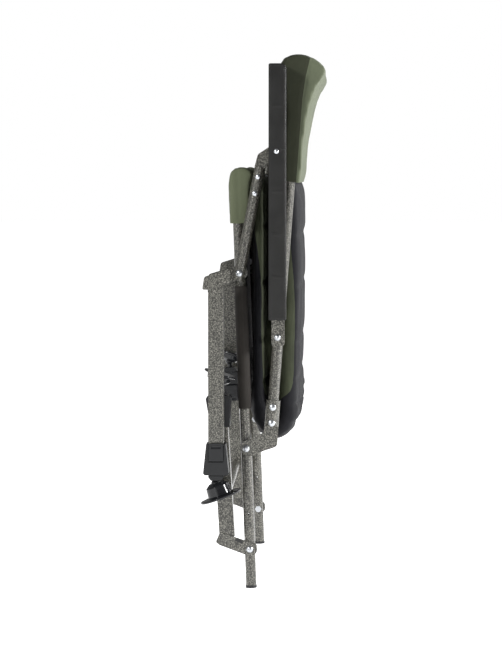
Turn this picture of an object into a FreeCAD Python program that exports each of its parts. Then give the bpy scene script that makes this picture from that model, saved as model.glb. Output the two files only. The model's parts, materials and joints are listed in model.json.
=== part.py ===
"""Folding camp chair with armrests, quilted seat and back, and four telescopic legs on ball-jointed mud feet.

The chair is folded flat and stands on the rear ends of its two seat rails. Everything is laid out in the rail
frame: Z runs up the seat rail from its rear end, X points to the sitter's side of the seat, and Y runs across
the chair. One placement leans that frame and stands the chair on the ground. Two smaller frames turn inside
it: the backrest's, about the backrest hinge, and each leg's, about its pivot.
"""
import FreeCAD, Part

import math
import os

App = FreeCAD
V = App.Vector
os.makedirs("parts", exist_ok=True)
doc = App.newDocument("camp_chair")

# ---------------------------------------------------------------- driving dimensions, millimetres and degrees
sheet = doc.addObject("Spreadsheet::Sheet", "dims")
DIMENSIONS = {
    # folded stance
    "rail_lean": 2.03,
    # round tubes of the seat, the back and the struts
    "tube_radius": 9.5,
    "tube_wall": 1.2,
    "bend_radius": 60.0,
    "seat_width": 520.0,
    "seat_length": 733.0,
    # pivots along the seat rail
    "rear_pivot": 70.0,
    "back_pivot": 249.0,
    "front_pivot": 560.0,
    "vent_along": 132.0,
    "vent_radius": 1.7,
    "bolt_radius": 4.0,
    "bolt_clearance": 0.08,
    "head_radius": 6.2,
    "head_height": 3.4,
    "arm_bolt_head": 5.8,
    "recess_length": 5.6,
    "recess_width": 1.2,
    "recess_depth": 1.4,
    "nut_radius": 6.5,
    "nut_height": 5.0,
    # end caps and sleeves on the seat rails
    "cap_thickness": 4.5,
    "cap_rim": 0.5,
    "cap_spigot": 15.0,
    "sleeve_start": 319.5,
    "sleeve_end": 536.0,
    "sleeve_gap": 0.15,
    "sleeve_wall": 1.7,
    # pressed plates
    "plate_gap": 0.2,
    "plate_thickness": 3.0,
    # backrest
    "back_lean": 6.23,
    "back_offset": 41.5,
    "back_start": 39.0,
    "back_height": 678.8,
    "bracket_top": 88.5,
    "bracket_skirt": 31.0,
    "bracket_lap": 4.0,
    "rivet_inset": 1.0,
    "rivet_radius": 3.0,
    "rivet_head": 5.8,
    "rivet_dome": 2.2,
    "rivet_low": 48.5,
    "rivet_high": 76.5,
    "rivet_clearance": 0.05,
    # armrest
    "arm_pivot_along": 196.0,
    "arm_pivot_out": 62.5,
    "arm_front": 477.0,
    "arm_cover_rear": 31.5,
    "arm_core_rear": -15.0,
    "arm_core_front": 455.0,
    "arm_depth": 30.4,
    "arm_width": 44.2,
    "cover_gap": 2.3,
    "cover_wall": 2.0,
    "cover_top_wall": 2.7,
    "cover_corner": 9.0,
    "rib_thickness": 2.0,
    "rib_count": 5,
    "rib_setback": 6.0,
    "core_gap": 4.5,
    "core_width": 22.0,
    "core_wall": 1.2,
    "core_drop": 10.4,
    "core_rise": 12.3,
    "screw_along": 325.0,
    "screw_across": -1.6,
    "screw_radius": 2.5,
    "screw_head": 4.2,
    "screw_dome": 1.8,
    "core_fit": 0.2,
    # strut
    "strut_lean": 13.0,
    "strut_gap": 6.0,
    "strut_tail": 14.0,
    "strut_end": 188.0,
    "strut_head_along": 221.7,
    "strut_head_across": 23.0,
    "strut_head_radius": 9.0,
    "strut_head_slack": 3.8,
    "strut_head_thickness": 12.0,
    "strut_plug": 66.0,
    "strut_rivet_low": 142.0,
    "strut_rivet_high": 171.4,
    "strut_rivet_radius": 2.4,
    "strut_rivet_head": 4.6,
    # legs, square tubes
    "leg_width": 27.0,
    "leg_wall": 1.5,
    "lower_width": 22.0,
    "lower_wall": 1.2,
    "front_leg_gap": 29.0,
    "front_leg_back": 40.0,
    "front_leg_start": 21.0,
    "front_leg_end": 305.0,
    "front_bar_along": 25.0,
    "front_bar_back": 44.5,
    "rear_leg_lean": 1.5,
    "rear_leg_back": 38.8,
    "rear_leg_start": 24.0,
    "rear_leg_end": 227.7,
    "rear_bar_along": 92.0,
    "bar_radius": 8.0,
    # cam clamp, one on each leg
    "clamp_lap": 8.5,
    "clamp_length": 55.2,
    "clamp_side": 3.5,
    "clamp_flare": 5.5,
    "clamp_toe": 3.0,
    "clamp_face": 3.5,
    "clamp_fit": 0.3,
    "lever_length": 31.0,
    "lever_width": 25.6,
    "lever_thickness": 5.0,
    "lever_gap": 0.5,
    "lever_proud": 2.0,
    "overcut": 20.0,
    "lever_grip_radius": 4.0,
    "lever_grip_inset": 4.0,
    "lever_grip_rise": 2.2,
    "lever_grip_along": 5.0,
    # lower leg and ball-jointed foot
    "lower_length": 238.0,
    "fitting_width": 30.0,
    "fitting_length": 9.4,
    "fitting_taper": 0.62,
    "front_ball_drop": 16.4,
    "rear_ball_drop": 24.0,
    "ball_radius": 9.0,
    "ball_clearance": 0.1,
    "stud_radius": 4.5,
    "stud_start": 4.0,
    "plug_length": 24.0,
    "plug_fit": 0.1,
    "front_foot_height": 25.3,
    "front_foot_radius": 37.5,
    "rear_foot_height": 17.0,
    "rear_foot_radius": 29.0,
    "foot_rim": 4.2,
    "foot_hub_radius": 20.5,
    "foot_neck_radius": 13.0,
    "foot_neck_top": 2.0,
    "foot_shoulder": 2.5,
    "foot_flare": 1.5,
    "foot_edge": 1.2,
    "foot_tilt": 20.0,
    # soft parts
    "pad_clearance": 0.3,
    "pad_rear": 335.0,
    "pad_front": 733.0,
    "seat_pad_bottom": 10.0,
    "seat_pad_rise": 14.0,
    "seat_pad_thickness": 31.0,
    "deck_half_thickness": 1.5,
    "back_pad_front": 38.0,
    "back_pad_back": 92.0,
    "back_pad_top": 473.0,
    "pocket_cloth": 1.6,
    "pocket_ease": 2.5,
    "front_pocket_depth": 99.0,
    "head_pocket_start": 474.6,
}
# free outlines: x, z and corner radius of each corner, in the frame of the piece that they belong to
FRONT_PLATE = [(-13, -13.5, 10), (12, -10.5, 0), (54, 2.5, 4), (57, 12, 4), (56.5, 37, 4), (33, 38, 4),
               (31, 24, 6), (10, 14.5, 0), (-13.5, 9, 9)]
FRONT_CHEEK = [(16, -9, 2), (60, 5, 6), (63.5, 27.5, 3), (53, 27.5, 2), (25, 19, 3), (16, 16.5, 2)]
REAR_PLATE = [(13, -13, 10), (13, 10, 7), (-6, 15.5, 10), (-51, 33.5, 4), (-59.5, 16, 4), (-53, 10.5, 3),
              (-9, -9, 10)]
BUMPER = [(-23, 21, 2), (-11, 15, 2), (-13, 11, 1), (-25, 17, 1)]
BRACKET_EYE = [(9, -13.5, 9), (-13.2, -6, 12), (-9, 10.5, 9), (7, 18.5, 10)]
HEAD_CLOTH = [(30, 474.6, 0), (66, 474.6, 0), (72, 598, 60), (82, 650, 30), (93, 674, 14), (74, 691, 14),
              (44, 697.5, 30), (14, 690, 12), (8, 664, 20), (24, 600, 60)]
PAD_FOLD = [(10, 307, 8), (32, 279, 12), (58, 268, 10), (80, 279, 16), (99, 311, 14)]
for row, (alias, value) in enumerate(DIMENSIONS.items(), start=1):
    sheet.set("A%d" % row, alias)
    sheet.set("B%d" % row, str(value))
    sheet.setAlias("B%d" % row, alias)
doc.recompute()


def size(alias):
    """Value of one named dimension."""
    return float(sheet.get(alias))


HALF = size("seat_width") / 2
PLATE_IN = size("tube_radius") + size("plate_gap")
PLATE_OUT = PLATE_IN + size("plate_thickness")
STRUT_Y = size("tube_radius") * 2 + size("strut_gap")
LEG = size("leg_width")
FRONT_LEG_Y = size("tube_radius") + size("front_leg_gap") + LEG / 2
REAR_LEG_Y = PLATE_IN - LEG / 2
SIDES = {"left": -1, "right": 1}
subparts = []


# ---------------------------------------------------------------- small helpers
def bind(obj, **expressions):
    """Bind properties of an object to expressions of the sheet's cells."""
    for prop, expression in expressions.items():
        obj.setExpression(prop, expression)
    return obj


def cylinder(name, radius, length, base, axis=V(0, 1, 0)):
    """Part::Cylinder from a base point along an axis; radius and length are expressions."""
    obj = bind(doc.addObject("Part::Cylinder", name), Radius=radius, Height=length)
    obj.Placement = App.Placement(base, App.Rotation(V(0, 0, 1), axis))
    return obj


def box(name, length, width, height, centre):
    """Part::Box about a centre; the three sizes are expressions."""
    obj = bind(doc.addObject("Part::Box", name), Length=length, Width=width, Height=height)
    doc.recompute()
    low = centre - V(obj.Length.Value, obj.Width.Value, obj.Height.Value) / 2
    obj.Placement = App.Placement(low, App.Rotation())
    return obj


def fuse(name, pieces):
    """Part::MultiFuse of the pieces."""
    obj = doc.addObject("Part::MultiFuse", name)
    obj.Shapes = pieces
    return obj


def cut(name, base, tool):
    """Part::Cut of the tool from the base."""
    obj = doc.addObject("Part::Cut", name)
    obj.Base, obj.Tool = base, tool
    return obj


def group(name, pieces):
    """Part::Compound of separate solids."""
    obj = doc.addObject("Part::Compound", name)
    obj.Links = pieces
    return obj


def moved(name, source, placement):
    """Part::Compound that shows one object at another placement."""
    obj = group(name, [source])
    obj.Placement = placement
    return obj


def publish(obj, label, within=None):
    """Name a finished sub-part, seen from the rail frame through an optional inner placement."""
    obj.Label = label
    subparts.append((obj, within or App.Placement()))
    return obj


def rounded(points):
    """Sketch edges of a closed outline of (x, z, corner radius) points, each corner an arc."""
    count, ends, edges = len(points), [], []
    for i, (x, z, radius) in enumerate(points):
        here = V(x, z, 0)
        back = (V(*points[i - 1][:2], 0) - here).normalize()
        ahead = (V(*points[(i + 1) % count][:2], 0) - here).normalize()
        if radius <= 0:
            ends.append((here, here, None))
            continue
        half = back.getAngle(ahead) / 2
        reach = radius / math.tan(half)
        middle = here + (back + ahead).normalize() * (radius / math.sin(half) - radius)
        ends.append((here + back * reach, here + ahead * reach, middle))
    for i, (start, end, middle) in enumerate(ends):
        if middle is not None:
            edges.append(Part.Arc(start, middle, end))
        following = ends[(i + 1) % count][0]
        if (following - end).Length > 1e-6:
            edges.append(Part.LineSegment(end, following))
    return edges


def prism(name, points, y_low, y_high, holes=()):
    """PartDesign body: an outline in the XZ plane padded along Y, with round holes (x, z, radius)."""
    body = doc.addObject("PartDesign::Body", name)
    sketch = body.newObject("Sketcher::SketchObject", name + "_outline")
    plane = [f for f in body.Origin.OriginFeatures if f.Role == "XZ_Plane"][0]
    sketch.AttachmentSupport = [(plane, "")]
    sketch.MapMode = "FlatFace"
    sketch.AttachmentOffset = App.Placement(V(0, 0, -y_high), App.Rotation())
    sketch.addGeometry(rounded(points), False)
    for x, z, radius in holes:
        sketch.addGeometry(Part.Circle(V(x, z, 0), V(0, 0, 1), radius), False)
    pad = body.newObject("PartDesign::Pad", name + "_pad")
    pad.Profile = sketch
    pad.Length = y_high - y_low
    return body


def across(side, inner, outer):
    """Low and high Y of a layer that lies inner..outer from the rail axis, outwards, on one side."""
    ends = sorted((side * (HALF + inner), side * (HALF + outer)))
    return ends[0], ends[1]


def u_tube(name, x, z_start, z_bar, radius):
    """Round bar bent to a U: two legs along Z at the rail axes and a cross bar; radius is an expression."""
    bend = size("bend_radius")
    legs = "%.6f" % (z_bar - bend - z_start)
    pieces = []
    for label, side in SIDES.items():
        foot = V(x, side * HALF, z_start)
        pieces.append(cylinder(name + "_leg_" + label, radius, legs, foot, V(0, 0, 1)))
        corner = bind(doc.addObject("Part::Torus", name + "_bend_" + label), Radius1="dims.bend_radius")
        corner.setExpression("Radius2", radius)
        corner.Angle3 = 90
        # the quarter ring lies in the YZ plane, from the leg to the cross bar
        ring = App.Rotation(V(0, side, 0), V(0, 0, 1), V(side, 0, 0), "ZXY")
        corner.Placement = App.Placement(V(x, side * (HALF - bend), z_bar - bend), ring)
        pieces.append(corner)
    length = "dims.seat_width - 2 * dims.bend_radius"
    pieces.append(cylinder(name + "_bar", radius, length, V(x, -HALF + bend, z_bar)))
    return fuse(name, pieces)


def cross_holes(name, x_z, radius):
    """Round cutters right across the chair at each (x, z) place."""
    tools = []
    for i, (x, z) in enumerate(x_z):
        start = V(x, -size("seat_width"), z)
        tools.append(cylinder("%s_%d" % (name, i), radius, "2 * dims.seat_width", start))
    return tools[0] if len(tools) == 1 else fuse(name, tools)


def dome(name, radius, height, base, outward):
    """Round fastener head: a slice of a ball on a flat base; radius and height are plain millimetres."""
    ball = (radius ** 2 + height ** 2) / (2 * height)
    head = doc.addObject("Part::Sphere", name)
    head.Radius = ball
    head.Angle1 = math.degrees(math.asin((ball - height) / ball))
    head.Angle2 = 90
    centre = base - V(0, outward * (ball - height), 0)
    head.Placement = App.Placement(centre, App.Rotation(V(0, 0, 1), V(0, outward, 0)))
    return head


def hexagon(name, radius, height, base, outward):
    """Hexagonal nut, as a prism along Y."""
    nut = doc.addObject("Part::Prism", name)
    nut.Polygon, nut.Circumradius, nut.Height = 6, radius, height
    nut.Placement = App.Placement(base, App.Rotation(V(0, 0, 1), V(0, outward, 0)))
    return nut


def bolt(name, x, z, side, inner, outer, radius, head_radius, head_height, nut=True):
    """Fastener along Y through the layers inner..outer of one side, domed outside.

    With a nut inside it is a cross-recessed bolt, without one a rivet.
    """
    foot = V(x, side * (HALF + inner), z)
    top = V(x, side * (HALF + outer), z)
    tail = size("nut_height") if nut else 0.0
    start = foot - V(0, side * tail, 0)
    length = "%.6f" % (outer - inner + tail)
    pieces = [cylinder(name + "_shank", radius, length, start, V(0, side, 0))]
    head = dome(name + "_head", head_radius, head_height, top, side)
    if nut:
        deep, long = "2 * dims.recess_depth", "dims.recess_length"
        crown = top + V(0, side * head_height, 0)
        arms = [box(name + "_slot", long, deep, "dims.recess_width", crown),
                box(name + "_cross", "dims.recess_width", deep, long, crown)]
        head = cut(name + "_recessed", head, fuse(name + "_recess", arms))
    pieces.append(head)
    if nut:
        pieces.append(hexagon(name + "_nut", size("nut_radius"), tail, start, side))
    return fuse(name, pieces)


# ---------------------------------------------------------------- places that several pieces share
BACK = App.Placement(V(0, 0, size("back_pivot")), App.Rotation(V(0, 1, 0), size("back_lean")))
arm_local = V(size("arm_pivot_out"), 0, size("back_pivot") + size("arm_pivot_along"))
ARM = App.Placement(arm_local, App.Rotation(V(0, 1, 0), size("rail_lean")))
STRUT = App.Placement(V(0, 0, size("front_pivot")), App.Rotation(V(0, 1, 0), size("strut_lean")))
FRONT = App.Placement(V(0, 0, size("front_pivot")), App.Rotation(V(0, 1, 0), 180 + size("rail_lean")))
REAR = App.Placement(V(0, 0, size("rear_pivot")), App.Rotation(V(0, 1, 0), -size("rear_leg_lean")))
arm_in_back = BACK.inverse().multVec(arm_local)
HOLE = "dims.bolt_radius + dims.bolt_clearance"
TIGHT = "dims.bolt_radius + dims.rivet_clearance"


# ---------------------------------------------------------------- seat frame
def build_seat_frame():
    """U-shaped seat tube with its pivot holes, end caps, cloth sleeves and pivot bolts."""
    start = size("cap_thickness")
    outer = u_tube("seat_tube_outer", 0, start, size("seat_length"), "dims.tube_radius")
    bore = u_tube("seat_tube_bore", 0, start, size("seat_length"), "dims.tube_radius - dims.tube_wall")
    pivots = [(0, size("rear_pivot")), (0, size("back_pivot")), (0, size("front_pivot"))]
    vent = cross_holes("seat_vents", [(0, size("vent_along"))], "dims.vent_radius")
    holes = fuse("seat_all_holes", [cross_holes("seat_holes", pivots, TIGHT), vent])
    hollow = cut("seat_tube", outer, bore)
    publish(cut("seat_frame_tube", hollow, holes), "seat_frame")

    caps, sleeve_radius = [], "dims.tube_radius + dims.sleeve_gap"
    for label, side in SIDES.items():
        rim = "dims.tube_radius + dims.cap_rim"
        plug = "dims.tube_radius - dims.tube_wall - dims.rivet_clearance"
        deep = "dims.cap_thickness + dims.cap_spigot"
        disc = cylinder("cap_disc_" + label, rim, "dims.cap_thickness", V(0, side * HALF, 0), V(0, 0, 1))
        spigot = cylinder("cap_spigot_" + label, plug, deep, V(0, side * HALF, 0), V(0, 0, 1))
        caps.append(fuse("cap_" + label, [disc, spigot]))
        place = V(0, side * HALF, size("sleeve_start"))
        long = "dims.sleeve_end - dims.sleeve_start"
        sleeve_outer = sleeve_radius + " + dims.sleeve_wall"
        around = cylinder("sleeve_out_" + label, sleeve_outer, long, place, V(0, 0, 1))
        inside = cylinder("sleeve_in_" + label, sleeve_radius, long, place, V(0, 0, 1))
        publish(cut("sleeve_" + label, around, inside), "rail_sleeve_" + label)
    publish(group("caps", caps), "rail_end_caps")

    bolts = []
    strut_out = STRUT_Y + size("tube_radius") + size("plate_gap")
    tops = {"rear": (size("rear_pivot"), PLATE_OUT), "back": (size("back_pivot"), PLATE_OUT),
            "front": (size("front_pivot"), strut_out)}
    for label, side in SIDES.items():
        for place, (z, top) in tops.items():
            head = (size("head_radius"), size("head_height"))
            grip = top + size("plate_gap")
            inner = -size("tube_radius") - size("plate_gap")
            name = "bolt_%s_%s" % (place, label)
            bolts.append(bolt(name, 0, z, side, inner, grip, "dims.bolt_radius", *head))
        # distance washer between the front leg plate and the strut
        inner, outer = PLATE_OUT + size("plate_gap"), STRUT_Y - size("tube_radius") - size("plate_gap")
        place = V(0, side * (HALF + inner), size("front_pivot"))
        thick = "%.6f" % (outer - inner)
        washer = cylinder("washer_" + label, "dims.nut_radius", thick, place, V(0, side, 0))
        bolts[-1] = fuse("bolt_washer_" + label, [bolts[-1], washer])
    publish(group("bolts", bolts), "frame_pivot_bolts")


# ---------------------------------------------------------------- backrest frame
def build_backrest():
    """U-shaped back tube and the two cranked hinge brackets that carry it, with their rivets."""
    x, start, top = size("back_offset"), size("back_start"), size("back_height")
    outer = u_tube("back_tube_outer", x, start, top, "dims.tube_radius")
    bore = u_tube("back_tube_bore", x, start, top, "dims.tube_radius - dims.tube_wall")
    rivets = [(x, size("rivet_low")), (x, size("rivet_high"))]
    rivet_holes = cross_holes("back_rivet_holes", rivets, "dims.rivet_radius + dims.rivet_clearance")
    arm_hole = cross_holes("back_arm_hole", [(arm_in_back.x, arm_in_back.z)], HOLE)
    hollow = cut("back_tube", outer, bore)
    tube = cut("back_frame_tube", hollow, fuse("back_holes", [rivet_holes, arm_hole]))
    publish(tube, "backrest_frame", BACK)

    wrap_out = "dims.tube_radius + dims.plate_gap + dims.plate_thickness"
    wrap_in = "dims.tube_radius + dims.plate_gap"
    half_wrap = size("tube_radius") + size("plate_gap") + size("plate_thickness")
    made = []
    for label, side in SIDES.items():
        low, high = across(side, PLATE_IN, PLATE_OUT)
        eye = [(0, 0, size("bolt_radius") + size("bolt_clearance"))]
        skirt_end = size("bracket_skirt")
        arm_outline = [(x - half_wrap, skirt_end, 0), (x + half_wrap, skirt_end, 0), (x + half_wrap, 8, 8),
                       (x - 10, -1.5, 8)] + BRACKET_EYE
        arm = prism("bracket_arm_" + label, arm_outline, low, high, eye)
        place = V(x, side * HALF, size("back_start"))
        long = "dims.bracket_top - dims.back_start"
        shell_out = cylinder("wrap_out_" + label, wrap_out, long, place, V(0, 0, 1))
        start_in = V(x, side * HALF, 0)
        shell_in = cylinder("wrap_in_" + label, wrap_in, "dims.bracket_top", start_in, V(0, 0, 1))
        shell_out.Angle = 180
        shell_out.Placement = App.Placement(place, App.Rotation(V(0, 0, 1), 180 if side < 0 else 0))
        lap = size("back_start") + size("bracket_lap")
        skirt = prism("bracket_skirt_" + label, [
            (x - half_wrap, skirt_end, 0), (x + half_wrap, skirt_end, 0), (x + half_wrap, lap, 0),
            (x - half_wrap, lap, 0)], low, high)
        solid = fuse("bracket_solid_" + label, [arm, skirt, shell_out])
        hollowed = cut("bracket_hollow_" + label, solid, shell_in)
        holes = cross_holes("bracket_holes_" + label, rivets, "dims.rivet_radius + dims.rivet_clearance")
        publish(cut("bracket_" + label, hollowed, holes), "hinge_bracket_" + label, BACK)
        for i, (rx, rz) in enumerate(rivets):
            name = "back_rivet_%s_%d" % (label, i)
            inner = -size("tube_radius") - size("rivet_inset")
            made.append(bolt(name, rx, rz, side, inner, PLATE_OUT, "dims.rivet_radius", size("rivet_head"),
                             size("rivet_dome"), nut=False))
    publish(group("back_rivets", made), "hinge_bracket_rivets", BACK)


# ---------------------------------------------------------------- armrests
def build_armrest(label, side):
    """Steel channel with a moulded cover, its pivot bolt and the screw that meets the strut."""
    rear, front = size("arm_core_rear"), size("arm_core_front")
    drop, rise, wall = size("core_drop"), size("core_rise"), size("core_wall")
    core_in = size("tube_radius") + size("core_gap")
    core_out = core_in + size("core_width")
    screw = (size("screw_across"), size("screw_along"))
    outline = [(-drop, rear, 5), (rise, rear, 5), (rise, front, 0), (-drop, front, 0)]
    block = prism("core_block_" + label, outline, *across(side, core_in, core_out))
    over = size("overcut")
    room = [(-drop - over, rear - over, 0), (rise - wall, rear - over, 0), (rise - wall, front + over, 0),
            (-drop - over, front + over, 0)]
    hollow = prism("core_room_" + label, room, *across(side, core_in + wall, core_out - wall))
    channel = cut("core_channel_" + label, block, hollow)
    pivot = cross_holes("core_pivot_" + label, [(0, 0)], TIGHT)
    screw_hole = cross_holes("core_screw_" + label, [screw], "dims.screw_radius + dims.rivet_clearance")
    publish(cut("core_" + label, channel, fuse("core_holes_" + label, [pivot, screw_hole])),
            "armrest_core_" + label, ARM)

    half, rear, front = size("arm_depth") / 2, size("arm_cover_rear"), size("arm_front")
    cover_in = size("tube_radius") + size("cover_gap")
    cover_out = cover_in + size("arm_width")
    corner, wall, top_wall = size("cover_corner"), size("cover_wall"), size("cover_top_wall")
    outline = [(-half, rear, 0), (half, rear, 0), (half, front, corner), (-half, front, corner / 3)]
    shell = prism("cover_block_" + label, outline, *across(side, cover_in, cover_out))
    room = [(-half - over, rear - over, 0), (half - top_wall, rear - over, 0),
            (half - top_wall, front - wall, corner - wall), (-half - over, front - wall, 0)]
    hollow = prism("cover_room_" + label, room, *across(side, cover_in + wall, cover_out - wall))
    ribs = []
    rib_in, rib_out = core_out + size("core_fit"), cover_out - wall
    count, open_side, t = int(size("rib_count")), -half + size("rib_setback"), size("rib_thickness")
    for i in range(1, count + 1):
        z = rear + i * (front - rear) / (count + 1)
        bars = [(open_side, z, 0), (half - top_wall, z, 0), (half - top_wall, z + t, 0),
                (open_side, z + t, 0)]
        ribs.append(prism("cover_rib_%s_%d" % (label, i), bars, *across(side, rib_in, rib_out)))
    hollowed = cut("cover_hollow_" + label, shell, hollow)
    ribbed = fuse("cover_ribbed_" + label, [hollowed] + ribs)
    screw_hole = cross_holes("cover_screw_" + label, [screw], "dims.screw_radius + dims.rivet_clearance")
    publish(cut("cover_" + label, ribbed, screw_hole), "armrest_cover_" + label, ARM)

    pivot = bolt("arm_bolt_" + label, 0, 0, side, -size("tube_radius") - size("plate_gap"),
                 core_out, "dims.bolt_radius", size("arm_bolt_head"), size("head_height"))
    spacer_start = V(0, side * (HALF + size("tube_radius") + size("plate_gap")), 0)
    thick = "dims.core_gap - 2 * dims.plate_gap"
    spacer = cylinder("arm_spacer_" + label, "dims.nut_radius", thick, spacer_start, V(0, side, 0))
    pin = bolt("arm_screw_" + label, *screw, side, core_in, cover_out, "dims.screw_radius",
               size("screw_head"), size("screw_dome"), nut=False)
    publish(group("arm_bolts_" + label, [fuse("arm_pivot_" + label, [pivot, spacer]), pin]),
            "armrest_bolts_" + label, ARM)


# ---------------------------------------------------------------- struts
def build_strut(label, side):
    """Round strut from the seat rail to the armrest, with a cranked head riveted into its top end."""
    y = side * (HALF + STRUT_Y)
    tail, end = size("strut_tail"), size("strut_end")
    long, foot, up = "dims.strut_tail + dims.strut_end", V(0, y, -tail), V(0, 0, 1)
    outer = cylinder("strut_out_" + label, "dims.tube_radius", long, foot, up)
    bore = cylinder("strut_bore_" + label, "dims.tube_radius - dims.tube_wall", long, foot, up)
    rivets = [(0, size("strut_rivet_low")), (0, size("strut_rivet_high"))]
    pivot = cross_holes("strut_pivot_" + label, [(0, 0)], HOLE)
    rivet_hole = "dims.strut_rivet_radius + dims.rivet_clearance"
    holes = cross_holes("strut_holes_" + label, rivets, rivet_hole)
    publish(cut("strut_" + label, cut("strut_hollow_" + label, outer, bore),
                fuse("strut_cuts_" + label, [pivot, holes])), "strut_tube_" + label, STRUT)

    bx, bz = size("strut_head_across"), size("strut_head_along")
    r, tube = size("strut_head_radius"), size("tube_radius")
    slack = size("screw_radius") + size("strut_head_slack")
    thick = size("strut_head_thickness") / 2
    head = prism("strut_head_block_" + label, [
        (-tube, end, 0), (tube, end, 0), (tube + 2.5, end + 8, 3), (bx + r * 1.15, bz - r * 1.05, r * 0.9),
        (bx + r * 0.55, bz + r * 1.15, r * 0.9), (bx - r * 1.3, bz + r * 0.75, 6), (-tube + 1.5, bz - 12, 9)],
        y - thick, y + thick, [(bx, bz, slack)])
    plug = cylinder("strut_plug_" + label, "dims.tube_radius - dims.tube_wall - dims.rivet_clearance",
                    "dims.strut_plug + 1", V(0, y, end - size("strut_plug")), V(0, 0, 1))
    holes = cross_holes("strut_head_holes_" + label, rivets, rivet_hole)
    publish(cut("strut_head_body_" + label, fuse("strut_head_fused_" + label, [head, plug]), holes),
            "strut_head_" + label, STRUT)

    made = []
    for i, (x, z) in enumerate(rivets):
        name = "strut_rivet_%s_%d" % (label, i)
        made.append(bolt(name, x, z, side, STRUT_Y - tube, STRUT_Y + tube, "dims.strut_rivet_radius",
                         size("strut_rivet_head"), size("screw_dome"), nut=False))
    publish(group("strut_rivets_" + label, made), "strut_rivets_" + label, STRUT)


# ---------------------------------------------------------------- legs
def square_tube(name, width, wall, length, centre):
    """Hollow square tube along Z; the sizes are expressions and the centre is that of the tube."""
    outer = box(name + "_out", width, width, length, centre)
    inside = "%s - 2 * %s" % (width, wall)
    return cut(name, outer, box(name + "_in", inside, inside, length + " + dims.overcut", centre))


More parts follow.
